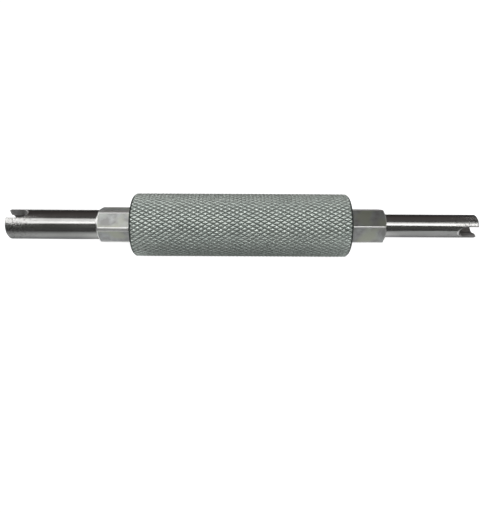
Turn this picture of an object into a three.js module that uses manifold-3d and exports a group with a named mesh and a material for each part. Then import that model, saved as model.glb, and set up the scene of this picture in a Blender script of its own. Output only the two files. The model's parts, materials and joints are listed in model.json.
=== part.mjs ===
// Double-ended valve core remover: a knurled bar with a slotted steel bit screwed into each end.
// Millimetres. X runs along the tool, from the large bit at -X to the small bit at +X; Z is up.
// The origin lies on the tool's axis, midway between the two tip faces.
// Each bit is drawn with its own axis along Y, measured outwards from the handle's end face.

import * as THREE from 'three';
import { mergeVertices } from 'three/addons/utils/BufferGeometryUtils.js';
import Module from 'manifold-3d';

const wasm = await Module();
wasm.setup();

// Handle: a round bar, diamond knurled over its whole length, drilled and tapped at both ends.
const HANDLE_LENGTH = 45.7;
const HANDLE_DIAMETER = 13.6; // over the knurl's peaks
const HANDLE_CHAMFER = 0.45;
const KNURL_STARTS = 46; // grooves of each hand, counted round the bar
const KNURL_HELIX_DEG = 30;
const KNURL_DEPTH = 0.3;

// Bits: both are turned from the same hexagonal bar, which a 7 mm spanner fits.
const HEX_ACROSS_FLATS = 7;
const HEX_CHAMFER_DEG = 30;
const TIP_CHAMFER = 0.18; // on the outside edge of each tip
const BORE_CHAMFER = 0.15; // on the inside edge of each tip

// Large bit, for the cores of large-bore valves.
const LARGE_HEX_LENGTH = 7.6;
const LARGE_TIP_LENGTH = 19.3;
const LARGE_TIP_DIAMETER = 6.4;
const LARGE_BORE_DIAMETER = 3.9;
const LARGE_BORE_DEPTH = 14;
const LARGE_SLOT_WIDTH = 2.5;
const LARGE_SLOT_DEPTH = 4.1;
const LARGE_TURN_DEG = 19.5; // how the tightened bit stands round its axis
const LARGE_SLOT_TURN_DEG = -64; // slot against a corner of the hexagon

// Small bit, for the cores of standard-bore valves.
const SMALL_HEX_LENGTH = 7.7;
const SMALL_TIP_LENGTH = 20;
const SMALL_TIP_DIAMETER = 5;
const SMALL_BORE_DIAMETER = 2.9;
const SMALL_BORE_DEPTH = 12;
const SMALL_SLOT_WIDTH = 2.4;
const SMALL_SLOT_DEPTH = 4.1;
const SMALL_TURN_DEG = -30.6;
const SMALL_SLOT_TURN_DEG = -29.6;

// Screwed joint inside each end of the handle: M4 shank, spring washer and recess.
const THREAD_DIAMETER = 4;
const SHANK_LENGTH = 9.2; // below the collar
const SHANK_CHAMFER = 0.5;
const COLLAR_DIAMETER = 6.6; // turned on the hexagon's inner end, presses on the washer
const COLLAR_REACH = 0.6; // into the recess
const WASHER_INNER_DIAMETER = 4.7;
const WASHER_OUTER_DIAMETER = 6.9;
const WASHER_THICKNESS = 1.2;
const WASHER_SPLIT = 0.7;
const WASHER_SPLIT_DEG = 20; // the split is cut aslant
const RECESS_CLEARANCE = 0.35; // round the washer
const TAPPED_DEPTH = 12; // from the handle's end face to the drill point's shoulder
const GAP = 0.3; // between neighbouring faces

const ROUND_SEGMENTS = 36;
const DRILL_POINT_DEG = 59; // half of a 118 degree point

const rad = THREE.MathUtils.degToRad;

// A closed geometry as a solid for cutting and joining.
function solid(geometry) {
  const bare = geometry.clone();
  bare.deleteAttribute('normal');
  bare.deleteAttribute('uv');
  const merged = mergeVertices(bare, 1e-4);
  const index = merged.index.array;
  const triangles = [];
  for (let i = 0; i < index.length; i += 3) {
    const [a, b, c] = [index[i], index[i + 1], index[i + 2]];
    if (a !== b && b !== c && c !== a) triangles.push(a, b, c);
  }
  return new wasm.Manifold(new wasm.Mesh({
    numProp: 3,
    vertProperties: new Float32Array(merged.attributes.position.array),
    triVerts: new Uint32Array(triangles),
  }));
}

function geometryOf(made) {
  const { vertProperties, triVerts } = made.getMesh();
  const geometry = new THREE.BufferGeometry();
  geometry.setAttribute('position', new THREE.BufferAttribute(vertProperties, 3));
  geometry.setIndex(new THREE.BufferAttribute(triVerts, 1));
  const faceted = geometry.toNonIndexed();
  faceted.computeVertexNormals();
  return faceted;
}

// A turned shape about Y. Its profile lists [radius, height] from the lower end to the upper end.
function turned(profile, segments = ROUND_SEGMENTS) {
  const points = profile.map(([radius, height]) => new THREE.Vector2(radius, height));
  return solid(new THREE.LatheGeometry(points, segments));
}

// The knurled bar, faced and chamfered. Points stand in rings along Y. Round a toothed ring they
// alternate between groove crossings and peaks, and each ring is set over by half a pitch. The edge
// across every square joins its two groove points, so four squares meet at each peak as a pyramid.
// The chamfer starts at the outermost peaks and leaves two plain rings at each end.
function knurledBar() {
  const around = 2 * KNURL_STARTS;
  const peak = HANDLE_DIAMETER / 2;
  const groove = peak - KNURL_DEPTH;
  const faced = peak - HANDLE_CHAMFER;
  const end = HANDLE_LENGTH / 2;
  const toothed = end - HANDLE_CHAMFER;
  const plain = toothed + KNURL_DEPTH;
  const ringStep = (Math.PI * peak) / KNURL_STARTS / Math.tan(rad(KNURL_HELIX_DEG));
  const steps = Math.round((2 * toothed) / ringStep);
  const isPeak = (i, j) => (i + j) % 2 === 1;

  const rings = [{ y: -end, radius: () => faced }, { y: -plain, radius: () => groove }];
  for (let j = 0; j <= steps; j++) {
    rings.push({ y: toothed * ((2 * j) / steps - 1), radius: (i) => (isPeak(i, j) ? peak : groove) });
  }
  rings.push({ y: plain, radius: () => groove }, { y: end, radius: () => faced });

  const positions = [];
  for (const { y, radius } of rings) {
    for (let i = 0; i < around; i++) {
      const angle = (2 * Math.PI * i) / around;
      positions.push(radius(i) * Math.cos(angle), y, -radius(i) * Math.sin(angle));
    }
  }
  const lowerCentre = rings.length * around;
  const upperCentre = lowerCentre + 1;
  positions.push(0, -end, 0, 0, end, 0);

  const indices = [];
  const top = (rings.length - 1) * around;
  for (let i = 0; i < around; i++) {
    const next = (i + 1) % around;
    for (let j = 0; j < rings.length - 1; j++) {
      const a = j * around + i;
      const b = j * around + next;
      const c = (j + 1) * around + next;
      const d = (j + 1) * around + i;
      if (isPeak(i, j)) indices.push(a, b, d, b, c, d);
      else indices.push(a, b, c, a, c, d);
    }
    indices.push(lowerCentre, next, i, upperCentre, top + i, top + next);
  }
  const geometry = new THREE.BufferGeometry();
  geometry.setAttribute('position', new THREE.Float32BufferAttribute(positions, 3));
  geometry.setIndex(indices);
  return solid(geometry);
}

// Depths inside an end of the handle, as heights below its end face.
const WASHER_TOP = -COLLAR_REACH - GAP;
const WASHER_BOTTOM = WASHER_TOP - WASHER_THICKNESS;
const RECESS_FLOOR = WASHER_BOTTOM - GAP;
const SHANK_END = -COLLAR_REACH - SHANK_LENGTH;

// What is drilled out of an end of the handle: recess for the washer, tapped hole, drill point.
function endBore() {
  const recess = WASHER_OUTER_DIAMETER / 2 + RECESS_CLEARANCE;
  const hole = THREAD_DIAMETER / 2 + GAP;
  const point = -TAPPED_DEPTH - hole / Math.tan(rad(DRILL_POINT_DEG));
  return turned([
    [0, point], [hole, -TAPPED_DEPTH], [hole, RECESS_FLOOR],
    [recess, RECESS_FLOOR], [recess, 1], [0, 1],
  ], 24);
}

function handleGeometry() {
  const end = HANDLE_LENGTH / 2;
  const upper = endBore().translate(0, end, 0);
  const lower = endBore().rotate(180, 0, 0).translate(0, -end, 0);
  return geometryOf(knurledBar().subtract(upper).subtract(lower));
}

// The hexagon with a corner towards +X, its corners turned back at both ends.
function hexagon(length) {
  const corner = HEX_ACROSS_FLATS / Math.sqrt(3);
  const height = length - GAP;
  const bar = solid(new THREE.CylinderGeometry(corner, corner, height, 6, 1, false, Math.PI / 2));
  const facedRadius = 0.97 * HEX_ACROSS_FLATS / 2;
  const clear = corner + 0.2;
  const rise = (clear - facedRadius) * Math.tan(rad(HEX_CHAMFER_DEG));
  const faced = turned([
    [0, GAP], [facedRadius, GAP], [clear, GAP + rise],
    [clear, length - rise], [facedRadius, length], [0, length],
  ], 48);
  return bar.translate(0, GAP + height / 2, 0).intersect(faced);
}

// A slot with a round root, milled straight across the tip.
function slotCutter({ tipFace, tipDiameter, slotWidth, slotDepth, slotTurn }) {
  const half = slotWidth / 2;
  const shape = new THREE.Shape();
  shape.moveTo(half, tipFace + 1);
  shape.lineTo(-half, tipFace + 1);
  shape.lineTo(-half, tipFace - slotDepth + half);
  shape.absarc(0, tipFace - slotDepth + half, half, Math.PI, 2 * Math.PI, false);
  shape.closePath();
  const reach = tipDiameter + 2;
  const cutter = new THREE.ExtrudeGeometry(shape, { depth: reach, bevelEnabled: false, curveSegments: 10 });
  cutter.translate(0, 0, -reach / 2);
  cutter.rotateY(Math.PI / 2 - slotTurn);
  return solid(cutter);
}

// One bit: threaded shank, collar, hexagon and hollow slotted tip, all from one bar.
function bitGeometry(bit) {
  const { hexLength, tipLength, tipDiameter, boreDiameter, boreDepth } = bit;
  const tipFace = hexLength + tipLength;
  const shank = THREAD_DIAMETER / 2;
  const collar = COLLAR_DIAMETER / 2;
  const tip = tipDiameter / 2;
  const bore = boreDiameter / 2;
  const inside = hexLength / 2;

  const bar = turned([
    [0, SHANK_END], [shank - SHANK_CHAMFER, SHANK_END], [shank, SHANK_END + SHANK_CHAMFER],
    [shank, -COLLAR_REACH], [collar, -COLLAR_REACH], [collar, inside], [tip, inside],
    [tip, tipFace - TIP_CHAMFER], [tip - TIP_CHAMFER, tipFace], [0, tipFace],
  ]);
  const drilled = turned([
    [0, tipFace - boreDepth - bore / Math.tan(rad(DRILL_POINT_DEG))],
    [bore, tipFace - boreDepth], [bore, tipFace - BORE_CHAMFER],
    [bore + BORE_CHAMFER + 1, tipFace + 1], [0, tipFace + 1],
  ], 32);
  const slot = slotCutter({ ...bit, tipFace });
  return geometryOf(bar.add(hexagon(hexLength)).subtract(drilled).subtract(slot));
}

// A split spring washer, pressed flat, lying in the recess under the collar.
function washerGeometry() {
  const inner = WASHER_INNER_DIAMETER / 2;
  const outer = WASHER_OUTER_DIAMETER / 2;
  const ring = turned([
    [inner, WASHER_BOTTOM], [outer, WASHER_BOTTOM], [outer, WASHER_TOP],
    [inner, WASHER_TOP], [inner, WASHER_BOTTOM],
  ], 32);
  const split = new THREE.BoxGeometry(outer, 4 * WASHER_THICKNESS, WASHER_SPLIT);
  split.rotateX(rad(WASHER_SPLIT_DEG));
  split.translate(outer / 2 + 1, (WASHER_TOP + WASHER_BOTTOM) / 2, 0);
  return geometryOf(ring.subtract(solid(split)));
}

const handleMetal = new THREE.MeshStandardMaterial({ color: 0x8d9692, metalness: 0.9, roughness: 0.45 });
const bitSteel = new THREE.MeshStandardMaterial({ color: 0xa9abad, metalness: 1, roughness: 0.22 });
const springSteel = new THREE.MeshStandardMaterial({ color: 0x55565a, metalness: 0.9, roughness: 0.5 });

function mesh(name, geometry, material) {
  const made = new THREE.Mesh(geometry, material);
  made.name = name;
  return made;
}

const tool = new THREE.Group();

const handle = mesh('handle', handleGeometry(), handleMetal);
handle.rotation.z = -Math.PI / 2;
tool.add(handle);

// Each end holds a washer and a bit, and points outwards from its end face.
const largeEnd = new THREE.Group();
largeEnd.position.x = -HANDLE_LENGTH / 2;
largeEnd.rotation.z = Math.PI / 2;
largeEnd.add(mesh('large_lock_washer', washerGeometry(), springSteel));
const largeBit = mesh('large_bit', bitGeometry({
  hexLength: LARGE_HEX_LENGTH,
  tipLength: LARGE_TIP_LENGTH,
  tipDiameter: LARGE_TIP_DIAMETER,
  boreDiameter: LARGE_BORE_DIAMETER,
  boreDepth: LARGE_BORE_DEPTH,
  slotWidth: LARGE_SLOT_WIDTH,
  slotDepth: LARGE_SLOT_DEPTH,
  slotTurn: rad(LARGE_SLOT_TURN_DEG),
}), bitSteel);
largeBit.rotation.y = rad(LARGE_TURN_DEG);
largeEnd.add(largeBit);
tool.add(largeEnd);

const smallEnd = new THREE.Group();
smallEnd.position.x = HANDLE_LENGTH / 2;
smallEnd.rotation.z = -Math.PI / 2;
smallEnd.add(mesh('small_lock_washer', washerGeometry(), springSteel.clone()));
const smallBit = mesh('small_bit', bitGeometry({
  hexLength: SMALL_HEX_LENGTH,
  tipLength: SMALL_TIP_LENGTH,
  tipDiameter: SMALL_TIP_DIAMETER,
  boreDiameter: SMALL_BORE_DIAMETER,
  boreDepth: SMALL_BORE_DEPTH,
  slotWidth: SMALL_SLOT_WIDTH,
  slotDepth: SMALL_SLOT_DEPTH,
  slotTurn: rad(SMALL_SLOT_TURN_DEG),
}), bitSteel.clone());
smallBit.rotation.y = rad(SMALL_TURN_DEG);
smallEnd.add(smallBit);
tool.add(smallEnd);

// Slides the whole tool so that the two tip faces stand equally far from the origin.
const largeReach = LARGE_HEX_LENGTH + LARGE_TIP_LENGTH;
const smallReach = SMALL_HEX_LENGTH + SMALL_TIP_LENGTH;
tool.children.forEach((piece) => { piece.position.x += (largeReach - smallReach) / 2; });

export default tool;
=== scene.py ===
import json
import math

import bmesh
import bpy
from mathutils import Matrix, Vector, noise


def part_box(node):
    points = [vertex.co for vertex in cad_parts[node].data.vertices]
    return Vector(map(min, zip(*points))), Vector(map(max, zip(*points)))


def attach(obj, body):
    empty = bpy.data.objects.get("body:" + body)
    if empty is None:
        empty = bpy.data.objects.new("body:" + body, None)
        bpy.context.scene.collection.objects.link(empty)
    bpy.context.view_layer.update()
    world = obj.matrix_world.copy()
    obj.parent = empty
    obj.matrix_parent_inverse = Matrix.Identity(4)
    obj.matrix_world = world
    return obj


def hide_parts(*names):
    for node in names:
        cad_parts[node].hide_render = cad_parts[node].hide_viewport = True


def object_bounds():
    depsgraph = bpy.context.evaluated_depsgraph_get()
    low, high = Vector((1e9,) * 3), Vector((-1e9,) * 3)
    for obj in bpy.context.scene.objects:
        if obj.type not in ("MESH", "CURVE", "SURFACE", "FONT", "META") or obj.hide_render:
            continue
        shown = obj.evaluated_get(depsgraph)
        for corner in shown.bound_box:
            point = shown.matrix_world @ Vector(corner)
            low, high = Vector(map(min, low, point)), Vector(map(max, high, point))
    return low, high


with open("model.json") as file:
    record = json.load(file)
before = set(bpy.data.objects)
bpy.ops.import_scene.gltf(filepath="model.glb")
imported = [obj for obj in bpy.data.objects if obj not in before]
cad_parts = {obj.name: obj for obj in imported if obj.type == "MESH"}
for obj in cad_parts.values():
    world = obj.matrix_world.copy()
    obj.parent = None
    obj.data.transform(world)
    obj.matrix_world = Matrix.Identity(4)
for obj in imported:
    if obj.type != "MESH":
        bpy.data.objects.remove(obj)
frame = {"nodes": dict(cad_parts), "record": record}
cad_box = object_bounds()

# Handle: a round steel bar with a diamond knurl rolled over its whole length, then faced, chamfered,
# drilled and tapped at both ends. Two crossing sets of grooves leave rows of four-sided teeth with
# low crowns, rubbed bright by hands. Painted shade darkens the grooves between them and the knurl's ends.

MM = 0.001
handle_low, handle_high = (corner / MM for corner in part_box("handle"))
handle_middle = (handle_low.x + handle_high.x) / 2
handle_half = (handle_high.x - handle_low.x) / 2
HANDLE_RADIUS = (handle_high.z - handle_low.z) / 2
HANDLE_CHAMFER = 0.45
CHAMFER_STEPS = 4
CHAMFER_CUTS_REACH = 1.2 * HANDLE_CHAMFER
KNURL_STARTS = 46
KNURL_HELIX = math.radians(30)
KNURL_SKEW = math.radians(2.5)
KNURL_DEPTH = 0.21
TOOTH_DRAWN_DEPTHS = 2
TOOTH_CROWN_PERCENT = 74
TOOTH_CROWN_STEPS = 2
TOOTH_FLATNESS = 0.6
TOOTH_UNEVEN = 0.12
UNEVEN_STEP_ALONG = 1.7
UNEVEN_STEP_ROUND = 2.3
UNEVEN_SLICE = 0.4
FACE_RIM = 0.35
RECESS_RADIUS = 3.8
RECESS_DEPTH = 2.4
RECESS_BROKEN_EDGE = 0.25
TAPPED_RADIUS = 2.3
TAPPED_DEPTH = 12
HOLE_POINT_DEPTH = 1.2
HOLE_POINT_RADIUS = 0.2
# Painted shade near the handle's ends: where it begins and where it is full, measured in from each end.
END_SHADE_FROM = 0.55
END_SHADE_FULL = 0.3
ON_END_FACE = 0.01
SAME_POINT = 1e-4
CUT_CLOSE = 1e-5


def from_axis(place):
    return math.hypot(place.y, place.z)


def set_radius(vertex, radius):
    across = from_axis(vertex.co)
    vertex.co.y *= radius / across
    vertex.co.z *= radius / across


def edges_of(parts):
    return [part for part in parts if isinstance(part, bmesh.types.BMEdge)]


def verts_of(parts):
    return [part for part in parts if isinstance(part, bmesh.types.BMVert)]


def rounded(body, geom, width, steps, affect="EDGES", measure="OFFSET", clamped=False):
    """Rounds some edges, or corners, of a shape."""
    bmesh.ops.bevel(
        body, geom=geom, offset=width, offset_type=measure, affect=affect, segments=steps,
        profile=0.5, material=-1, clamp_overlap=clamped,
    )


def cut_along(body, place, outward, drop_beyond=False):
    """Cuts a shape along a plane, and gives what the cut made."""
    return bmesh.ops.bisect_plane(
        body, geom=body.verts[:] + body.edges[:] + body.faces[:], dist=CUT_CLOSE,
        plane_co=place, plane_no=outward, clear_outer=drop_beyond,
    )["geom_cut"]


def rolled_knurl():
    """A flat sheet of crossing grooves, rolled round the X axis into an open tube."""
    knurl = bmesh.new()
    columns = 2 * KNURL_STARTS
    pitch = 2 * math.pi * HANDLE_RADIUS / KNURL_STARTS
    row_step = pitch / (math.tan(KNURL_HELIX + KNURL_SKEW) + math.tan(KNURL_HELIX - KNURL_SKEW))
    set_over = math.tan(KNURL_HELIX + KNURL_SKEW) * row_step / HANDLE_RADIUS
    rows = 2 * (math.ceil(handle_half / row_step) + 1)
    half = 0.5
    bmesh.ops.create_grid(knurl, x_segments=rows, y_segments=columns, size=half)
    place = {}
    for vertex in knurl.verts:
        place[vertex] = round((vertex.co.x + half) * rows), round((vertex.co.y + half) * columns)
    crossings = [vertex for vertex in knurl.verts if sum(place[vertex]) % 2 == 0]
    peaks = [vertex for vertex in knurl.verts if sum(place[vertex]) % 2 == 1]
    bmesh.ops.connect_verts(knurl, verts=crossings)
    groove = HANDLE_RADIUS - KNURL_DEPTH
    for vertex, (row, column) in place.items():
        angle = math.pi * column / KNURL_STARTS + row * (set_over - math.pi / KNURL_STARTS)
        radius = groove
        if (row + column) % 2:
            spot = UNEVEN_STEP_ALONG * row, UNEVEN_STEP_ROUND * (column % columns), UNEVEN_SLICE
            worn = TOOTH_UNEVEN * abs(noise.noise(spot))
            radius = groove + KNURL_DEPTH * (TOOTH_DRAWN_DEPTHS - worn)
        vertex.co = (
            handle_middle + (row - rows / 2) * row_step,
            -radius * math.cos(angle),
            radius * math.sin(angle),
        )
    bmesh.ops.remove_doubles(knurl, verts=knurl.verts, dist=SAME_POINT)
    teeth = [vertex for vertex in peaks if vertex.is_valid]
    rounded(knurl, teeth, TOOTH_CROWN_PERCENT, TOOTH_CROWN_STEPS, affect="VERTICES", measure="PERCENT")
    heights = {vertex: from_axis(vertex.co) - groove for vertex in knurl.verts}
    tallest = max(heights.values())
    for vertex, height in heights.items():
        set_radius(vertex, groove + KNURL_DEPTH * max(height / tallest, 0) ** TOOTH_FLATNESS)
    return knurl


def grown_rings(body, edges, rings):
    """Carries an open round edge on through rings of (x, radius), and closes the last one."""
    for x, radius in rings:
        made = bmesh.ops.extrude_edge_only(body, edges=edges)["geom"]
        edges = edges_of(made)
        for vertex in verts_of(made):
            set_radius(vertex, radius)
            vertex.co.x = x
    bmesh.ops.contextual_create(body, geom=edges)


def faced_end(body, end, outward):
    """Cuts the tube square at an end, turns the chamfer on the teeth, and drills the end."""
    for step in range(CHAMFER_STEPS + 1):
        cut = end - outward * CHAMFER_CUTS_REACH * (1 - step / CHAMFER_STEPS)
        cut_along(body, (cut, 0, 0), (outward, 0, 0), drop_beyond=step == CHAMFER_STEPS)
    for vertex in body.verts:
        turned = HANDLE_RADIUS - HANDLE_CHAMFER + outward * (end - vertex.co.x)
        if from_axis(vertex.co) > turned:
            set_radius(vertex, turned)
    rim = [
        edge for edge in body.edges
        if edge.is_boundary and all(abs(vertex.co.x - end) < SAME_POINT for vertex in edge.verts)
    ]
    grown_rings(body, rim, [
        (end, HANDLE_RADIUS - HANDLE_CHAMFER - FACE_RIM),
        (end, RECESS_RADIUS + RECESS_BROKEN_EDGE),
        (end - outward * RECESS_BROKEN_EDGE, RECESS_RADIUS),
        (end - outward * RECESS_DEPTH, RECESS_RADIUS),
        (end - outward * RECESS_DEPTH, TAPPED_RADIUS),
        (end - outward * TAPPED_DEPTH, TAPPED_RADIUS),
        (end - outward * (TAPPED_DEPTH + HOLE_POINT_DEPTH), HOLE_POINT_RADIUS),
    ])


def shape_object(name, body):
    """An object in the scene that takes over a finished shape."""
    mesh = bpy.data.meshes.new(name)
    body.to_mesh(mesh)
    body.free()
    made = bpy.data.objects.new(name, mesh)
    bpy.context.scene.collection.objects.link(made)
    return made


def placed_piece(name, body, materials, solid, rides):
    """Puts a finished shape, drawn in millimetres, into the scene in place of a solid."""
    bmesh.ops.recalc_face_normals(body, faces=body.faces)
    bmesh.ops.scale(body, vec=(MM, MM, MM), verts=body.verts)
    piece = shape_object(name, body)
    for material in materials:
        piece.data.materials.append(material)
    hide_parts(solid)
    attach(piece, rides)


def new_material(name, metallic=1.0):
    """A metal material, its shader, and the surface's own coordinates in millimetres."""
    material = bpy.data.materials.new(name)
    material.use_nodes = True
    tree = material.node_tree
    shader = tree.nodes["Principled BSDF"]
    shader.inputs["Metallic"].default_value = metallic
    where = tree.nodes.new("ShaderNodeTexCoord")
    scaled = tree.nodes.new("ShaderNodeMapping")
    scaled.inputs["Scale"].default_value = (1 / MM, 1 / MM, 1 / MM)
    tree.links.new(where.outputs["Object"], scaled.inputs["Vector"])
    return material, tree, shader, scaled.outputs["Vector"]


def node(tree, kind, inputs=(), **settings):
    """A shader node with its settings and inputs, given as values or as sockets to link."""
    made = tree.nodes.new("ShaderNode" + kind)
    for key, value in settings.items():
        setattr(made, key, value)
    for key, value in dict(inputs).items():
        if isinstance(value, bpy.types.NodeSocket):
            tree.links.new(value, made.inputs[key])
        else:
            made.inputs[key].default_value = value
    return made


def blended(tree, factor, first, second):
    """A colour between two colours, by a factor."""
    inputs = {"Factor": factor, "A": first, "B": second}
    return node(tree, "Mix", inputs, data_type="RGBA").outputs["Result"]


def ranged(tree, value, low, high, to_low=0.0, to_high=1.0):
    """A value carried from one range to another and held inside it."""
    inputs = {"Value": value, "From Min": low, "From Max": high, "To Min": to_low, "To Max": to_high}
    return node(tree, "MapRange", inputs).outputs["Result"]


def worked_out(tree, operation, *values):
    """A value worked out from others, given as numbers or sockets."""
    return node(tree, "Math", dict(enumerate(values)), operation=operation).outputs[0]


def clouds(tree, millimetres, **settings):
    """Cloudy noise over the surface."""
    return node(tree, "TexNoise", {"Vector": millimetres, **settings}).outputs[0]


def dressed(tree, shader, colour, roughness):
    """Gives a metal's shader its colour and its roughness."""
    tree.links.new(colour, shader.inputs["Base Color"])
    tree.links.new(roughness, shader.inputs["Roughness"])


SMEAR_RANGE = 0.35, 0.65
GRAIN_RANGE = 0.3, 0.7


def handling_marks():
    """Shared effect: cloudy smears from handling, and a fine grain of small scratches."""
    group = bpy.data.node_groups.new("handling marks", "ShaderNodeTree")
    group.interface.new_socket("Millimetres", in_out="INPUT", socket_type="NodeSocketVector")
    group.interface.new_socket("Smear Size", in_out="INPUT", socket_type="NodeSocketFloat")
    group.interface.new_socket("Grain Size", in_out="INPUT", socket_type="NodeSocketFloat")
    group.interface.new_socket("Smear", in_out="OUTPUT", socket_type="NodeSocketFloat")
    group.interface.new_socket("Grain", in_out="OUTPUT", socket_type="NodeSocketFloat")
    given = group.nodes.new("NodeGroupInput")
    result = group.nodes.new("NodeGroupOutput")
    millimetres = given.outputs["Millimetres"]
    smear_scale = worked_out(group, "DIVIDE", 1.0, given.outputs["Smear Size"])
    grain_scale = worked_out(group, "DIVIDE", 1.0, given.outputs["Grain Size"])
    smear = clouds(group, millimetres, Scale=smear_scale, Detail=4.0, Roughness=0.6)
    grain = clouds(group, millimetres, Scale=grain_scale, Detail=3.0)
    group.links.new(ranged(group, smear, *SMEAR_RANGE), result.inputs["Smear"])
    group.links.new(grain, result.inputs["Grain"])
    return group


HANDLING_MARKS = handling_marks()


def marks(tree, millimetres, smear_size, grain_size):
    """Smears and grain of the given sizes, in millimetres."""
    placed = tree.nodes.new("ShaderNodeGroup")
    placed.node_tree = HANDLING_MARKS
    tree.links.new(millimetres, placed.inputs["Millimetres"])
    placed.inputs["Smear Size"].default_value = smear_size
    placed.inputs["Grain Size"].default_value = grain_size
    return placed.outputs["Smear"], placed.outputs["Grain"]


def distance_from_axis(tree, millimetres):
    across = node(tree, "VectorMath", {0: millimetres, 1: (0, 1, 1)}, operation="MULTIPLY")
    return node(tree, "VectorMath", {0: across.outputs[0]}, operation="LENGTH").outputs["Value"]


def knurled_plating():
    """Dull pale plating, darkened with painted shade in the grooves and at the ends, rubbed brighter on
    the teeth.
    """
    material, tree, shader, millimetres = new_material("knurled plating", metallic=0.85)
    smear, grain = marks(tree, millimetres, smear_size=6.0, grain_size=0.12)
    height = distance_from_axis(tree, millimetres)
    # Painted shade: the colour darkens from the tooth crowns down into the grooves.
    groove_shade_to = HANDLE_RADIUS - 0.9 * KNURL_DEPTH
    shade_clear_from = HANDLE_RADIUS - 0.25 * KNURL_DEPTH
    clear_of_shade_or_pits = ranged(tree, height, groove_shade_to, shade_clear_from)
    rubbed = ranged(tree, clouds(tree, millimetres, Scale=1.5, Detail=2.0), 0.36, 0.64)
    dull = blended(tree, smear, (0.58, 0.63, 0.595, 1), (0.66, 0.71, 0.665, 1))
    bright = blended(tree, smear, (0.78, 0.85, 0.805, 1), (0.85, 0.91, 0.86, 1))
    groove_painted_shade = (0.26, 0.287, 0.27, 1)
    colour = blended(tree, clear_of_shade_or_pits, groove_painted_shade, blended(tree, rubbed, dull, bright))
    along = node(tree, "SeparateXYZ", {0: millimetres}).outputs["X"]
    from_middle = worked_out(tree, "ABSOLUTE", worked_out(tree, "SUBTRACT", along, handle_middle))
    # Painted shade: the knurl darkens close to both ends of the handle.
    at_end = ranged(tree, from_middle, handle_half - END_SHADE_FROM, handle_half - END_SHADE_FULL)
    end_painted_shade = (0.06, 0.07, 0.065, 1)
    gloss = ranged(tree, height, HANDLE_RADIUS - KNURL_DEPTH, HANDLE_RADIUS, 0.6, 0.34)
    dressed(tree, shader, blended(tree, at_end, colour, end_painted_shade), gloss)
    dents = node(tree, "Bump", {
        "Height": clouds(tree, millimetres, Scale=1.6, Detail=2.0), "Strength": 0.6, "Distance": 0.08 * MM,
    })
    scratches = node(tree, "Bump", {
        "Height": grain, "Strength": 0.25, "Distance": 0.02 * MM, "Normal": dents.outputs["Normal"],
    })
    tree.links.new(scratches.outputs["Normal"], shader.inputs["Normal"])
    return material


def faced_plating():
    """The turned end faces: fine rings about the axis."""
    material, tree, shader, millimetres = new_material("faced plating")
    smear, grain = marks(tree, millimetres, smear_size=3.0, grain_size=0.1)
    colour = blended(tree, smear, (0.46, 0.50, 0.47, 1), (0.56, 0.58, 0.54, 1))
    dressed(tree, shader, colour, ranged(tree, grain, *GRAIN_RANGE, 0.25, 0.4))
    across = distance_from_axis(tree, millimetres)
    rings = node(tree, "TexNoise", {"W": across, "Scale": 9.0, "Detail": 3.0}, noise_dimensions="1D")
    bump = node(tree, "Bump", {"Height": rings.outputs[0], "Strength": 0.5, "Distance": 0.03 * MM})
    tree.links.new(bump.outputs["Normal"], shader.inputs["Normal"])
    return material


def smeared_steel(name, smear_size, grain_size, dark, light, roughness, metallic=1.0):
    """Steel that clouds between two tones, with a gloss that follows its grain."""
    material, tree, shader, millimetres = new_material(name, metallic)
    smear, grain = marks(tree, millimetres, smear_size, grain_size)
    dressed(tree, shader, blended(tree, smear, dark, light), ranged(tree, grain, *GRAIN_RANGE, *roughness))
    return material


# Inside of holes and recesses: dull steel, darkened with painted shade.
DRILLED_STEEL_PAINTED_DARK = smeared_steel(
    "drilled steel", smear_size=1.5, grain_size=0.08,
    dark=(0.10, 0.095, 0.09, 1), light=(0.22, 0.21, 0.20, 1), roughness=(0.4, 0.6),
)
HANDLE_FINISHES = {"knurled": knurled_plating(), "faced": faced_plating(), "drilled": DRILLED_STEEL_PAINTED_DARK}


def set_finishes(body, finishes, finish_of):
    """Gives each face its place in the piece's list of materials, by the name of its finish."""
    places = {name: place for place, name in enumerate(finishes)}
    for face in body.faces:
        face.material_index = places[finish_of(face)]


def handle_finish(face):
    centre = face.calc_center_median()
    # Painted shade: the recess and the tapped hole take the dark drilled colour.
    if from_axis(centre) < RECESS_RADIUS + RECESS_BROKEN_EDGE:
        return "drilled"
    if min(centre.x - handle_low.x, handle_high.x - centre.x) < ON_END_FACE:
        return "faced"
    return "knurled"


handle_body = rolled_knurl()
faced_end(handle_body, handle_low.x, -1)
faced_end(handle_body, handle_high.x, 1)
set_finishes(handle_body, HANDLE_FINISHES, handle_finish)
placed_piece("knurled_handle", handle_body, HANDLE_FINISHES.values(), "handle", "handle")

# Lock washers: a turn of square spring wire in each recess of the handle, cut through aslant and
# pressed nearly flat under the bit's collar. Dark phosphated spring steel.

WASHER_INNER_RADIUS = 2.35
WASHER_OUTER_RADIUS = 3.45
WASHER_SPLIT = 0.7
WASHER_SLANT = math.radians(20)
WASHER_RISE = 0.12
WASHER_CORNER = 0.12
WASHER_CORNER_STEPS = 2
WASHER_STEPS = 72
WASHER_SHARP = math.radians(35)
SPRING_STEEL = smeared_steel(
    "spring steel", smear_size=1.0, grain_size=0.06,
    dark=(0.06, 0.06, 0.065, 1), light=(0.13, 0.13, 0.135, 1), roughness=(0.35, 0.55),
)


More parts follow.
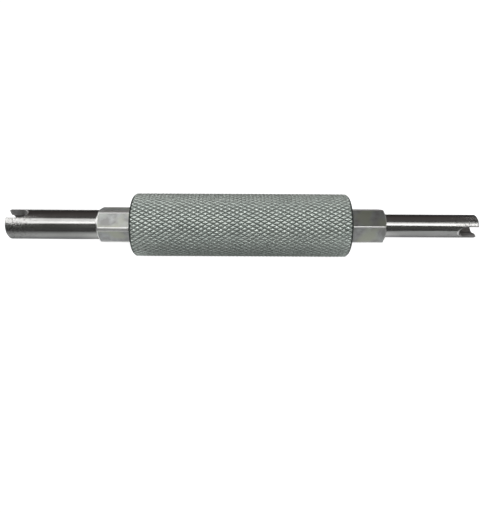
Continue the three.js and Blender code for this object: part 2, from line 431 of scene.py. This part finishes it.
def split_washer(low_x, high_x, split_at):
    """One turn of wire about X, with its slanted split centred on an angle from +Y."""
    washer = bmesh.new()
    split = WASHER_SPLIT / math.cos(WASHER_SLANT) / WASHER_OUTER_RADIUS
    thickness = high_x - low_x - WASHER_RISE
    wide = WASHER_OUTER_RADIUS - WASHER_INNER_RADIUS
    section = bmesh.ops.create_grid(washer, x_segments=1, y_segments=1, size=0.5)["verts"]
    bmesh.ops.scale(washer, vec=(thickness, wide, 1), verts=section)
    bmesh.ops.translate(
        washer, vec=(low_x + thickness / 2, WASHER_INNER_RADIUS + wide / 2, 0), verts=section,
    )
    rounded(washer, washer.verts[:], WASHER_CORNER, WASHER_CORNER_STEPS, affect="VERTICES")
    bmesh.ops.spin(
        washer, geom=washer.faces[:] + washer.edges[:] + washer.verts[:], cent=(0, 0, 0), axis=(1, 0, 0),
        dvec=(WASHER_RISE / WASHER_STEPS, 0, 0), angle=2 * math.pi - split, steps=WASHER_STEPS,
        use_duplicate=False,
    )
    for vertex in washer.verts:
        from_middle = vertex.co.x - (low_x + high_x) / 2
        lean = math.tan(WASHER_SLANT) * from_middle / WASHER_OUTER_RADIUS
        vertex.co = Matrix.Rotation(split_at + split / 2 - lean, 3, "X") @ vertex.co
    washer.normal_update()
    for face in washer.faces:
        face.smooth = True
    for edge in washer.edges:
        edge.smooth = edge.calc_face_angle(math.pi) < WASHER_SHARP
    return washer


for end, split_at in (("large", 0), ("small", math.pi)):
    solid = end + "_lock_washer"
    low, high = (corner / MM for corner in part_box(solid))
    washer = split_washer(low.x, high.x, split_at)
    placed_piece(end + "_spring_washer", washer, [SPRING_STEEL], solid, end + "_washer")

# Bits: each is turned from a length of 7 mm hexagonal bar. The tip is turned round, drilled up its
# middle and slotted across its end with a round-nosed cutter; a stub of the bar's hexagon is left for
# a spanner, and the far end is threaded to screw into the handle.

mounts = {mount["name"]: mount for mount in frame["record"]["mounts"]}
SEAT_GAP = 0.3
HEX_CHAMFER = math.tan(math.radians(30))
HEX_CORNER_STEPS = 6
HEX_RIM_STEPS = 4
HEX_FLAT_CUTS = 13
HEX_FACE_INSET = 0.05
COLLAR_RADIUS = 3.3
COLLAR_REACH = 0.6
CORE_SHORT_OF_FACE = 0.6
STUB_RADIUS = 1.3
STUB_LENGTH = 1
SHANK_LENGTH = 9.2
THREAD_RADIUS = 2.0
THREAD_PITCH = 0.7
THREAD_DEPTH = 0.43
THREAD_CREST = THREAD_PITCH / 8
THREAD_ROOT = THREAD_PITCH / 4
THREAD_STEPS = 36
THREAD_SPARE_TURNS = 2
THREAD_RUN_IN = 1.5 * THREAD_PITCH
THREAD_IN_COLLAR = 0.2
THREAD_END_CUT = 0.1
THREAD_WELD = 1e-3
TIP_CHAMFER = 0.18
TIP_BAND = 0.12
BORE_CHAMFER = 0.15
DRILL_POINT = math.radians(59)
SHOULDER_RISE = 0.16
# Points of the fillet at the tip's root: how far out from the hexagon, and how far above the tip's side.
SHOULDER = [(0.27, 0), (0.15, 0), (0.04, 0.04), (-0.01, SHOULDER_RISE), (-0.2, SHOULDER_RISE)]
PAST_SHOULDER = 1
SLOT_RIM = 0.2
SLOT_RIM_SLOPE = 2.5
SLOT_ROOM = 0.3
SLOT_WEAR_REACH = 0.5
CUTTER_HALF_PATH = 6
CUTTER_OVERRUN = 2
CUTTER_NOSE_STEPS = 12
CUTTER_NOSE_SHARE = 0.4999
FINE_EDGE = 0.04
FINE_EDGE_STEPS = 3
FINE_EDGE_DEGREES = 38
SMOOTH_DEGREES = 24
FLAT_AREA = 4
LONG_EDGE = 1
# Limits that tell the faces of a bit apart: room about its forms, and how squarely a face looks out.
BORE_ROOM = 0.05
SEAT_ROOM = 0.02
TIP_ROOM = 0.02
HEX_ROOM_IN = 0.01
HEX_ROOM_OUT = 0.005
ON_AXIS = 0.01
FLARE_LEAST = 0.6
FLARE_MOST = 0.97
RIM_LEAN = 0.2
END_SQUARE = 0.9
ROUND_STEPS = 128
TIP_RUBBED_FROM = 41
TIP_RUBBED_OVER = 7
BITS = {
    "large": {
        "bore": 1.95, "bore_depth": 14, "slot_width": 2.5, "slot_depth": 4.1,
        "hex_faced": 3.3, "hex_corner_round": 0.5, "hex_rim_round": 0.2, "hex_rim_worn_and_highlit": True,
    },
    "small": {
        "bore": 1.45, "bore_depth": 12, "slot_width": 2.4, "slot_depth": 4.1,
        "hex_faced": 3.39, "hex_corner_round": 0.18, "hex_rim_round": 0.08, "hex_rim_worn_and_highlit": False,
    },
}


def bright_turned_steel():
    """Tips: shiny turned steel with the lathe's fine rings, rubbed and dented near the slots."""
    material, tree, shader, millimetres = new_material("bright turned steel")
    smear, grain = marks(tree, millimetres, smear_size=5.0, grain_size=0.05)
    along = node(tree, "SeparateXYZ", {0: millimetres}).outputs["X"]
    from_middle = worked_out(tree, "ABSOLUTE", along)
    rubbed = ranged(tree, from_middle, TIP_RUBBED_FROM, TIP_RUBBED_FROM + TIP_RUBBED_OVER)
    spots = clouds(tree, millimetres, Scale=2.2, Detail=3.0, Roughness=0.65)
    pitted = worked_out(tree, "MULTIPLY", ranged(tree, spots, 0.52, 0.66, 0.0, 0.75), rubbed)
    clear_of_shade_or_pits = blended(tree, smear, (0.47, 0.465, 0.455, 1), (0.53, 0.525, 0.515, 1))
    pit = (0.11, 0.108, 0.105, 1)
    dents = clouds(tree, millimetres, Scale=2.6, Detail=3.0, Roughness=0.7)
    dented = worked_out(tree, "MULTIPLY", dents, rubbed)
    dent_dulling = 0.16
    polish = ranged(tree, grain, *GRAIN_RANGE, 0.12, 0.2)
    gloss = worked_out(tree, "MULTIPLY_ADD", dented, dent_dulling, polish)
    dressed(tree, shader, blended(tree, pitted, clear_of_shade_or_pits, pit), gloss)
    rings = node(tree, "TexNoise", {"W": along, "Scale": 14.0, "Detail": 3.0}, noise_dimensions="1D")
    turned = node(tree, "Bump", {"Height": rings.outputs[0], "Strength": 0.3, "Distance": 0.01 * MM})
    bump = node(tree, "Bump", {
        "Height": dented, "Strength": 0.7, "Distance": 0.06 * MM, "Normal": turned.outputs["Normal"],
    })
    tree.links.new(bump.outputs["Normal"], shader.inputs["Normal"])
    return material


def drawn_hexagon_steel():
    """Spanner flats: duller drawn bar, with long drawing lines and a faint yellow stain."""
    material, tree, shader, millimetres = new_material("drawn hexagon steel")
    smear, grain = marks(tree, millimetres, smear_size=1.6, grain_size=0.08)
    stained = ranged(tree, clouds(tree, millimetres, Scale=0.32, Detail=1.0), 0.45, 0.65)
    steel = blended(tree, smear, (0.26, 0.26, 0.255, 1), (0.39, 0.40, 0.40, 1))
    stain = (0.36, 0.37, 0.315, 1)
    gloss = ranged(tree, grain, *GRAIN_RANGE, 0.3, 0.38)
    dressed(tree, shader, blended(tree, stained, steel, stain), gloss)
    stretched = node(tree, "VectorMath", {0: millimetres, 1: (0.15, 6.0, 6.0)}, operation="MULTIPLY")
    lines = clouds(tree, stretched.outputs[0], Scale=1.0, Detail=3.0)
    bump = node(tree, "Bump", {"Height": lines, "Strength": 0.3, "Distance": 0.03 * MM})
    tree.links.new(bump.outputs["Normal"], shader.inputs["Normal"])
    return material


# Shanks are a little oily, slot walls are left rough by the cutter and darkened with painted shade, and
# worn edges are rubbed bright, their pale colour also a painted highlight.
BIT_FINISHES = {
    "turned": bright_turned_steel(),
    "drawn": drawn_hexagon_steel(),
    "drilled": DRILLED_STEEL_PAINTED_DARK,
    "threaded": smeared_steel(
        "cut thread steel", smear_size=2.0, grain_size=0.06,
        dark=(0.32, 0.31, 0.29, 1), light=(0.48, 0.47, 0.45, 1), roughness=(0.22, 0.36),
    ),
    # Slot walls: rough from the cutter, and their darker colour is painted shade inside the slot.
    "milled_and_shaded": smeared_steel(
        "milled steel", smear_size=0.8, grain_size=0.06,
        dark=(0.27, 0.262, 0.258, 1), light=(0.40, 0.39, 0.385, 1), roughness=(0.3, 0.42),
    ),
    # Worn edges: rubbed bright by wear, and their pale colour is also a painted highlight on corners and
    # rims.
    "worn": smeared_steel(
        "worn edge steel", smear_size=1.2, grain_size=0.06, metallic=0.85,
        dark=(0.82, 0.82, 0.805, 1), light=(0.92, 0.92, 0.905, 1), roughness=(0.34, 0.42),
    ),
}


def profile_line(body, profile):
    """A line through (x, radius) points, ready to be spun about X."""
    points = [body.verts.new((x, radius, 0)) for x, radius in profile]
    return points + [body.edges.new(pair) for pair in zip(points, points[1:])]


def spun(profile):
    """A closed turned shape about X from a profile of (x, radius) that starts and ends on the axis."""
    body = bmesh.new()
    bmesh.ops.spin(
        body, geom=profile_line(body, profile), cent=(0, 0, 0), axis=(1, 0, 0), angle=2 * math.pi,
        steps=ROUND_STEPS, use_merge=True, use_duplicate=False,
    )
    bmesh.ops.remove_doubles(body, verts=body.verts, dist=SAME_POINT)
    bmesh.ops.dissolve_degenerate(body, dist=SAME_POINT, edges=body.edges)
    bmesh.ops.recalc_face_normals(body, faces=body.faces)
    return body


def rise_along(edge):
    return abs(edge.verts[0].co.z - edge.verts[1].co.z)


def drawn_hexagon(apothem, first_flat, low_x, high_x, size):
    """A stub of hexagonal bar along X, its ends turned back to a cone and its edges worn round."""
    stub = bmesh.new()
    length = high_x - low_x
    bmesh.ops.create_circle(stub, cap_ends=True, segments=6, radius=apothem / math.cos(math.pi / 6))
    far = verts_of(bmesh.ops.extrude_face_region(stub, geom=stub.faces[:])["geom"])
    bmesh.ops.translate(stub, vec=(0, 0, length), verts=far)
    bmesh.ops.recalc_face_normals(stub, faces=stub.faces)
    corners = [edge for edge in stub.edges if rise_along(edge) > LONG_EDGE]
    rounded(stub, corners, size["hex_corner_round"], HEX_CORNER_STEPS)
    ends = [face for face in stub.faces if abs(face.normal.z) > END_SQUARE]
    sides = [edge for face in ends for edge in face.edges if edge.calc_length() > LONG_EDGE]
    bmesh.ops.bisect_edges(stub, edges=sides, cuts=HEX_FLAT_CUTS)
    bmesh.ops.inset_region(stub, faces=ends, thickness=HEX_FACE_INSET, use_even_offset=True)
    faced = {vertex for face in ends for vertex in face.verts}
    for vertex in stub.verts:
        across = math.hypot(vertex.co.x, vertex.co.y)
        if vertex in faced:
            vertex.co.xy *= size["hex_faced"] / across
        else:
            turned_back = (across - size["hex_faced"]) * HEX_CHAMFER
            vertex.co.z = turned_back if vertex.co.z < length / 2 else length - turned_back
    rims = [
        edge for edge in stub.edges
        if faced.isdisjoint(edge.verts) and rise_along(edge) < LONG_EDGE
    ]
    rounded(stub, rims, size["hex_rim_round"], HEX_RIM_STEPS)
    turns = Matrix.Rotation(first_flat - math.pi / 6, 3, "X") @ Matrix.Rotation(math.pi / 2, 3, "Y")
    bmesh.ops.rotate(stub, cent=(0, 0, 0), matrix=turns, verts=stub.verts)
    bmesh.ops.translate(stub, vec=(low_x, 0, 0), verts=stub.verts)
    return stub


def cut_thread(start, outward):
    """A closed length of screw thread about X, from the collar to the shank's chamfered end."""
    thread = bmesh.new()
    root = THREAD_RADIUS - THREAD_DEPTH
    end = start - outward * SHANK_LENGTH
    low, high = sorted((start, end))
    turns = math.ceil(SHANK_LENGTH / THREAD_PITCH) + THREAD_SPARE_TURNS
    begin = low - THREAD_RUN_IN
    tooth = [
        (begin, root),
        (begin + THREAD_ROOT / 2, root),
        (begin + (THREAD_PITCH - THREAD_CREST) / 2, THREAD_RADIUS),
        (begin + (THREAD_PITCH + THREAD_CREST) / 2, THREAD_RADIUS),
        (begin + THREAD_PITCH - THREAD_ROOT / 2, root),
        (begin + THREAD_PITCH, root),
    ]
    bmesh.ops.spin(
        thread, geom=profile_line(thread, tooth), cent=(0, 0, 0), axis=(1, 0, 0),
        dvec=(THREAD_PITCH / THREAD_STEPS, 0, 0), angle=2 * math.pi * turns, steps=THREAD_STEPS * turns,
        use_duplicate=False,
    )
    bmesh.ops.remove_doubles(thread, verts=thread.verts, dist=THREAD_WELD)
    for x, side in ((low, -1), (high, 1)):
        cut = cut_along(thread, (x, 0, 0), (side, 0, 0), drop_beyond=True)
        bmesh.ops.contextual_create(thread, geom=edges_of(cut))
    for vertex in thread.verts:
        turned = root - THREAD_END_CUT + outward * (vertex.co.x - end)
        if from_axis(vertex.co) > turned > 0:
            set_radius(vertex, turned)
    bmesh.ops.recalc_face_normals(thread, faces=thread.faces)
    return thread


def slot_cutter(tip_face, outward, across, size, tip):
    """A round-nosed cutter's path straight across the tip, flared where it breaks out of its side."""
    cutter = bmesh.new()
    length = size["slot_depth"] + CUTTER_OVERRUN
    middle = tip_face - outward * (size["slot_depth"] - length / 2)
    bmesh.ops.create_cube(cutter, size=1.0)
    bmesh.ops.scale(cutter, vec=(length, 2 * CUTTER_HALF_PATH, size["slot_width"]), verts=cutter.verts)
    nose = [
        edge for edge in cutter.edges
        if all(vertex.co.x * outward < 0 for vertex in edge.verts)
        and abs(edge.verts[0].co.y - edge.verts[1].co.y) > LONG_EDGE
    ]
    rounded(cutter, nose, size["slot_width"] * CUTTER_NOSE_SHARE, CUTTER_NOSE_STEPS)
    flared = cutter.verts[:]
    for side in (-1, 1):
        cut_along(cutter, (0, side * (tip - SLOT_RIM), 0), (0, 1, 0))
    nose_radius = size["slot_width"] / 2
    nose_middle = -outward * (length / 2 - nose_radius)
    growth = 1 + SLOT_RIM_SLOPE * (CUTTER_HALF_PATH - tip + SLOT_RIM) / nose_radius
    for vertex in flared:
        vertex.co.x = nose_middle + (vertex.co.x - nose_middle) * growth
        vertex.co.z *= growth
    bmesh.ops.rotate(
        cutter, cent=(0, 0, 0), matrix=Matrix.Rotation(across, 3, "X"), verts=cutter.verts,
    )
    bmesh.ops.translate(cutter, vec=(middle, 0, 0), verts=cutter.verts)
    return cutter


def cut_and_joined(body, cutter, stub, thread):
    """The turned bit with its slot cut and its hexagon and thread joined on, as one shape."""
    blank = shape_object("bit blank", body)
    tools = [
        (shape_object("slot cutter", cutter), "DIFFERENCE"),
        (shape_object("hexagon", stub), "UNION"),
        (shape_object("thread", thread), "UNION"),
    ]
    for tool, operation in tools:
        change = blank.modifiers.new(operation, "BOOLEAN")
        change.operation = operation
        change.object = tool
        change.solver = "EXACT"
    settled = blank.evaluated_get(bpy.context.evaluated_depsgraph_get())
    finished = bpy.data.meshes.new_from_object(settled)
    result = bmesh.new()
    result.from_mesh(finished)
    for made in [blank] + [tool for tool, operation in tools]:
        mesh = made.data
        bpy.data.objects.remove(made)
        bpy.data.meshes.remove(mesh)
    bpy.data.meshes.remove(finished)
    return result


def break_tip_edges(bit, outward, tip_from):
    """Takes the sharpness off the edges of the tip, from a place along X outwards."""
    sharp = []
    for edge in bit.edges:
        if edge.is_manifold and edge.calc_face_angle() > math.radians(FINE_EDGE_DEGREES):
            middle = (edge.verts[0].co + edge.verts[1].co) / 2
            if outward * (middle.x - tip_from) > 0:
                sharp.append(edge)
    rounded(bit, sharp, FINE_EDGE, FINE_EDGE_STEPS, clamped=True)


def bit_piece(end, outward):
    """Makes one whole bit and screws it home, on the side of the handle that outward points to."""
    size = BITS[end]
    low, high = (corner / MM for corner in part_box(end + "_bit"))
    tip_face = high.x if outward > 0 else low.x
    seat = handle_high.x if outward > 0 else handle_low.x
    flat_centre = Vector(mounts[end + "_hex_flat"]["pos_m"]) / MM
    apothem = from_axis(flat_centre)
    hex_length = 2 * abs(flat_centre.x - seat) - SEAT_GAP
    on_jaw = mounts[end + "_tip_face"]["pos_m"]
    slot_direction = math.atan2(on_jaw[2], on_jaw[1]) + math.pi / 2
    tip = max(
        from_axis(vertex.co) for vertex in frame["nodes"][end + "_bit"].data.vertices
        if outward * (vertex.co.x / MM - seat) > hex_length + PAST_SHOULDER
    ) / MM
    reach = outward * (tip_face - seat)
    bore = size["bore"]
    hex_ends = sorted((seat + outward * SEAT_GAP, seat + outward * hex_length))
    root = hex_length - max(tip + SHOULDER_RISE - size["hex_faced"], 0) * HEX_CHAMFER
    profile = [
        (reach - size["bore_depth"] - bore / math.tan(DRILL_POINT), 0),
        (reach - size["bore_depth"], bore),
        (reach - BORE_CHAMFER, bore),
        (reach, bore + BORE_CHAMFER),
        (reach, tip - TIP_CHAMFER),
        (reach - TIP_CHAMFER, tip),
        (reach - TIP_CHAMFER - TIP_BAND, tip),
        *[(root + out, tip + rise) for out, rise in SHOULDER],
        (hex_length - CORE_SHORT_OF_FACE, COLLAR_RADIUS),
        (-COLLAR_REACH, COLLAR_RADIUS),
        (-COLLAR_REACH, STUB_RADIUS),
        (-COLLAR_REACH - STUB_LENGTH, STUB_RADIUS),
        (-COLLAR_REACH - STUB_LENGTH, 0),
    ]
    bit = cut_and_joined(
        spun([(seat + outward * along, radius) for along, radius in profile]),
        slot_cutter(tip_face, outward, slot_direction, size, tip),
        drawn_hexagon(apothem, math.atan2(flat_centre.z, flat_centre.y), *hex_ends, size),
        cut_thread(seat - outward * (COLLAR_REACH - THREAD_IN_COLLAR), outward),
    )
    break_tip_edges(bit, outward, seat + outward * (hex_length + PAST_SHOULDER))
    slot_from = reach - size["slot_depth"] - SLOT_ROOM
    hex_from = SEAT_GAP - HEX_ROOM_IN
    hex_to = hex_length + HEX_ROOM_OUT

    def bit_finish(face):
        """The finish of a face, by where it lies and how it looks out."""
        centre = face.calc_center_median()
        along = outward * (centre.x - seat)
        across = from_axis(centre)
        faces_out = (face.normal.y * centre.y + face.normal.z * centre.z) / max(across, ON_AXIS)
        flared = across > tip - SLOT_RIM and FLARE_LEAST < faces_out < FLARE_MOST
        rubbed = size["hex_rim_worn_and_highlit"] or abs(face.normal.x) < RIM_LEAN
        # Painted shade: the inside of the bore takes the dark drilled colour.
        if along > SEAT_GAP + SEAT_ROOM and across < bore + BORE_ROOM:
            return "drilled"
        # Wear and painted highlight: slot rims and the small hexagon faces take the pale worn colour.
        if along > slot_from - SLOT_WEAR_REACH and flared:
            return "worn"
        if hex_from < along < hex_to and face.calc_area() < FLAT_AREA and rubbed:
            return "worn"
        # Painted shade: faces inside the slot take the darker slot-wall colour.
        if along > slot_from and across < tip - TIP_ROOM and outward * face.normal.x < END_SQUARE:
            return "milled_and_shaded"
        if along > hex_to:
            return "turned"
        return "drawn" if along > 0 else "threaded"

    set_finishes(bit, BIT_FINISHES, bit_finish)
    for face in bit.faces:
        face.smooth = face.calc_area() < FLAT_AREA
    for edge in bit.edges:
        edge.smooth = edge.calc_face_angle(math.pi) < math.radians(SMOOTH_DEGREES)
    bmesh.ops.dissolve_degenerate(bit, dist=SAME_POINT, edges=bit.edges)
    placed_piece(end + "_valve_bit", bit, BIT_FINISHES.values(), end + "_bit", end + "_bit")


bit_piece("large", -1)
bit_piece("small", 1)

# Table: a sheet of paper that the tool lies on, seen evenly white by the camera and brighter than it
# lights the tool. To the tool it shows a painted pattern of light and shade: it throws most light back
# from just in front of the bits, a painted shadow makes it throw less from behind them, painted shade less
# along the handle, and it is painted dark further in front. Far behind it glows, mostly on the left, and
# near the handle it glows a little.

FLOOR_HALF = 2.0
LIT_FRONT = 0.018
LIT_FADE = 0.0065
LIT_ASLANT = 0.08
LIT_FROM = 0.020
LIT_FROM_FADE = 0.008
# Painted shade along the handle: the share of the lit strip left in front of it.
PAINTED_SHADE_ALONG_HANDLE = 0.2
# Painted shadow under the tool: how much light is left, and where it begins and is full.
PAINTED_SHADOW_UNDER_TOOL = 0.55
PAINTED_SHADOW_FROM = -0.0055
PAINTED_SHADOW_TO = -0.002
BOUNCE_TO = 0.032
BOUNCE_FADE = 0.005
BOUNCE_GLOW = 0.32
FAR_BACK = 0.08
FAR_BACK_FADE = 0.03
BACK_GLOW = 0.9
BACK_LEFT = 0.05
BACK_LEFT_FADE = 0.01
BACK_DIM = 0.12
SEEN_DARK_PART = 1.0
SEEN_LIT_PART = 0.94
WHITE = (1, 1, 1, 1)


def floor_paper():
    material = bpy.data.materials.new("pale paper")
    material.use_nodes = True
    tree = material.node_tree
    tree.nodes.clear()
    place = node(tree, "SeparateXYZ", {0: node(tree, "TexCoord").outputs["Object"]})
    behind = place.outputs["Y"]
    aside = worked_out(tree, "ABSOLUTE", place.outputs["X"])
    slanted = worked_out(tree, "MULTIPLY_ADD", place.outputs["X"], LIT_ASLANT, behind)
    front = ranged(tree, slanted, -LIT_FRONT - LIT_FADE, -LIT_FRONT + LIT_FADE)
    # Painted shadow: the paper darkens from just in front of the tool backwards.
    under = ranged(tree, behind, PAINTED_SHADOW_FROM, PAINTED_SHADOW_TO, 1.0, PAINTED_SHADOW_UNDER_TOOL)
    # Painted shade: the lit strip dims in front of the handle.
    painted_shade_beside_handle = ranged(tree, aside, LIT_FROM, LIT_FROM + LIT_FROM_FADE, PAINTED_SHADE_ALONG_HANDLE, 1.0)
    near = worked_out(tree, "MULTIPLY", worked_out(tree, "MULTIPLY", front, under), painted_shade_beside_handle)
    far = ranged(tree, behind, FAR_BACK, FAR_BACK + FAR_BACK_FADE, 0.0, BACK_GLOW)
    left = ranged(tree, place.outputs["X"], -BACK_LEFT, BACK_LEFT_FADE - BACK_LEFT, 1.0, BACK_DIM)
    back = worked_out(tree, "MULTIPLY", far, left)
    bounce = ranged(tree, aside, BOUNCE_TO, BOUNCE_TO + BOUNCE_FADE, BOUNCE_GLOW, 0.0)
    glowing = worked_out(tree, "MULTIPLY_ADD", bounce, near, back)
    # Painted light and shade: pale where the paper counts as lit, dark elsewhere.
    paper = blended(tree, near, (0.12, 0.12, 0.12, 1), (0.86, 0.88, 0.89, 1))
    sheet = node(tree, "BsdfDiffuse", {"Color": paper})
    lift = ranged(tree, near, 0.0, 1.0, SEEN_DARK_PART, SEEN_LIT_PART)
    seen = node(tree, "LightPath").outputs["Is Camera Ray"]
    strength = node(tree, "Mix", {"Factor": seen, "A": glowing, "B": lift}).outputs["Result"]
    glow = node(tree, "Emission", {"Color": WHITE, "Strength": strength})
    both = node(tree, "AddShader", {0: sheet.outputs[0], 1: glow.outputs[0]})
    node(tree, "OutputMaterial", {"Surface": both.outputs[0]})
    return material


floor_body = bmesh.new()
bmesh.ops.create_grid(floor_body, x_segments=1, y_segments=1, size=FLOOR_HALF)
bmesh.ops.translate(floor_body, vec=(0, 0, cad_box[0][2]), verts=floor_body.verts)
floor = shape_object("floor", floor_body)
floor.data.materials.append(floor_paper())

# Light: a bright strip above the camera and a dimmer soft box over it, hung a little higher on the
# left. Bright cards stand overhead, behind on the right, and on the left, the right and in front, where
# a narrow one is a little to the left. The room is dim, and looks white to the camera.

SOFT_BOXES = {
    "bright strip": {
        "azimuth": 0, "elevation": 47.5, "away": 0.34,
        "wide": 0.7, "tall": 0.077, "tilt": 0, "radiance": 1.75,
    },
    "dim soft box": {
        "azimuth": 0, "elevation": 59.5, "away": 0.36,
        "wide": 0.7, "tall": 0.18, "tilt": 12, "radiance": 1.18,
    },
    "overhead card": {
        "azimuth": 0, "elevation": 75, "away": 0.36,
        "wide": 0.14, "tall": 0.19, "tilt": 0, "radiance": 0.8,
    },
    "back card": {
        "azimuth": 118, "elevation": 24, "away": 0.4,
        "wide": 0.14, "tall": 0.16, "tilt": 0, "radiance": 2.4,
    },
    "left card": {
        "azimuth": -84, "elevation": 37, "away": 0.35,
        "wide": 0.2, "tall": 0.18, "tilt": 0, "radiance": 1.8,
    },
    "front card": {
        "azimuth": -14.5, "elevation": 22, "away": 0.36,
        "wide": 0.024, "tall": 0.07, "tilt": 0, "radiance": 4.2,
    },
    "right card": {
        "azimuth": 66, "elevation": 19, "away": 0.35,
        "wide": 0.12, "tall": 0.18, "tilt": 0, "radiance": 1.6,
    },
}
CEILING_FROM = 0.35
CEILING_FULL = 0.85
WALL_FADE = 0.1

room = bpy.data.worlds.new("dim room")
room.use_nodes = True
room_tree = room.node_tree
towards = node(room_tree, "SeparateXYZ", {0: node(room_tree, "TexCoord").outputs["Generated"]})
ceiling = ranged(room_tree, towards.outputs["Z"], CEILING_FROM, CEILING_FULL)
back_wall = blended(room_tree, ceiling, (0.040, 0.035, 0.034, 1), (0.102, 0.093, 0.091, 1))
behind_tool = ranged(room_tree, towards.outputs["Y"], -WALL_FADE, WALL_FADE)
walls = blended(room_tree, behind_tool, (0.088, 0.091, 0.085, 1), back_wall)
room_seen = node(room_tree, "LightPath").outputs["Is Camera Ray"]
room_colour = blended(room_tree, room_seen, walls, WHITE)
room_tree.links.new(room_colour, room_tree.nodes["Background"].inputs["Color"])
bpy.context.scene.world = room

for name, box in SOFT_BOXES.items():
    light = bpy.data.lights.new(name, "AREA")
    light.shape = "RECTANGLE"
    light.size = box["wide"]
    light.size_y = box["tall"]
    light.energy = math.pi * box["wide"] * box["tall"] * box["radiance"]
    light_object = bpy.data.objects.new(name, light)
    raised = Matrix.Rotation(math.radians(90 - box["elevation"]), 4, "X")
    tilted = Matrix.Rotation(math.radians(-box["tilt"]), 4, "Z")
    turned = Matrix.Rotation(math.radians(box["azimuth"]), 4, "Z")
    light_object.matrix_world = turned @ raised @ Matrix.Translation((0, 0, box["away"])) @ tilted
    light_object.visible_camera = False
    bpy.context.scene.collection.objects.link(light_object)

# Camera: close in front of the handle's middle and above it, looking down at the tool. Its shift puts
# the tool where the photograph has it, and the long side of the picture takes the sensor's width.

IMAGE_WIDE, IMAGE_TALL = 501, 513
TOOL_AT = 241.0, 225.1
CAMERA_ELEVATION = math.radians(35)
CAMERA_DISTANCE = 0.095
CAMERA_ROLL = math.radians(0.28)
FOCAL_PIXELS = 437
SENSOR = 36

camera = bpy.data.cameras.new("camera")
camera.sensor_width = SENSOR
camera.lens = SENSOR * FOCAL_PIXELS / IMAGE_TALL
camera.shift_x = (IMAGE_WIDE / 2 - TOOL_AT[0]) / IMAGE_TALL
camera.shift_y = (TOOL_AT[1] - IMAGE_TALL / 2) / IMAGE_TALL
camera.clip_start = MM
camera_object = bpy.data.objects.new("camera", camera)
towards_camera = Vector((0, -math.cos(CAMERA_ELEVATION), math.sin(CAMERA_ELEVATION)))
camera_object.location = towards_camera * CAMERA_DISTANCE + Vector((handle_middle * MM, 0, 0))
camera_object.rotation_euler = (
    Matrix.Rotation(math.pi / 2 - CAMERA_ELEVATION, 4, "X") @ Matrix.Rotation(CAMERA_ROLL, 4, "Z")
).to_euler()
bpy.context.scene.collection.objects.link(camera_object)
bpy.context.scene.camera = camera_object
bpy.context.scene.view_settings.view_transform = "Standard"
